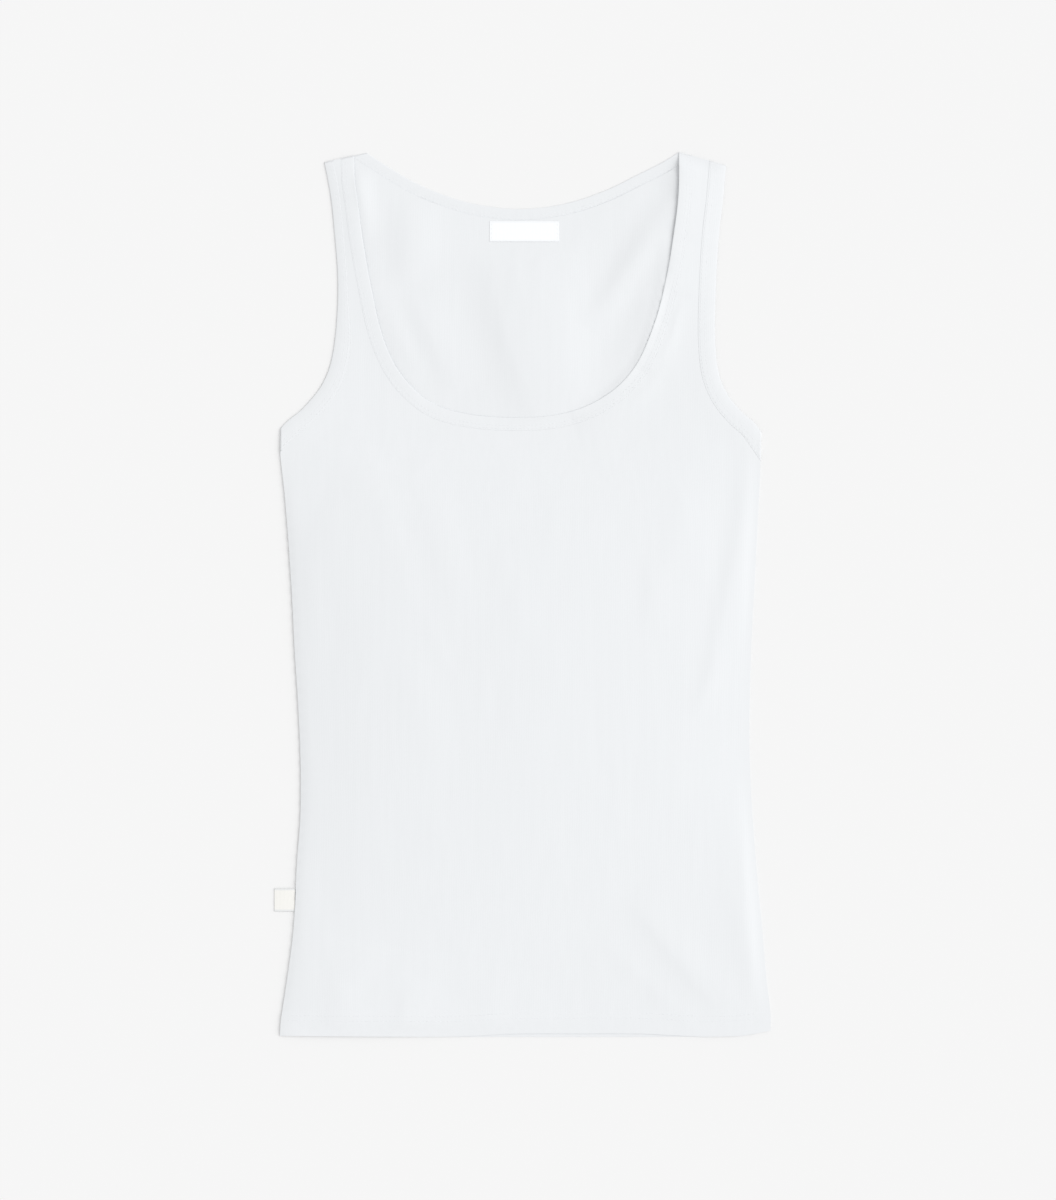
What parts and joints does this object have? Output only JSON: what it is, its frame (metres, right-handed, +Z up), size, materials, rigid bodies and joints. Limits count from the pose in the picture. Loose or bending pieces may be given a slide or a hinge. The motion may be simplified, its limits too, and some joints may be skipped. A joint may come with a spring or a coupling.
{
  "type": "tank top",
  "caption": "Scoop-neck sleeveless tank top in white jersey, laid flat with its front up, with bound neck and armholes, blank neck label and blank side tab.",
  "frame": {"origin": "on the surface under the middle of the garment's bounding box, X and Y at the middle of the laid-out garment", "axes": "+X across the chest to the picture's right, +Y from the hem to the shoulders, +Z up from the surface"},
  "size_m": [0.3776, 0.6733, 0.0083],
  "materials": {
    "jersey_front": "cool white fine cotton jersey, matt, fine vertical knit ribs",
    "jersey_back": "cool white fine cotton jersey, matt, its inside shows in the neck opening",
    "binding_jersey": "cool white doubled jersey binding, matt, with two rows of stitching",
    "label_satin": "pure white woven satin ribbon, blank",
    "tab_ribbon": "off-white folded woven ribbon, blank, with a stripe of plain thread"
  },
  "bodies": {
    "root": {"back_panel": "jersey_back", "front_panel": "jersey_front", "neck_binding_back": "binding_jersey", "neck_binding_front": "binding_jersey", "armhole_binding_left_back": "binding_jersey", "armhole_binding_left_front": "binding_jersey", "armhole_binding_right_back": "binding_jersey", "armhole_binding_right_front": "binding_jersey", "neck_label": "label_satin", "side_tab": "tab_ribbon"}
  },
  "joints": []
}
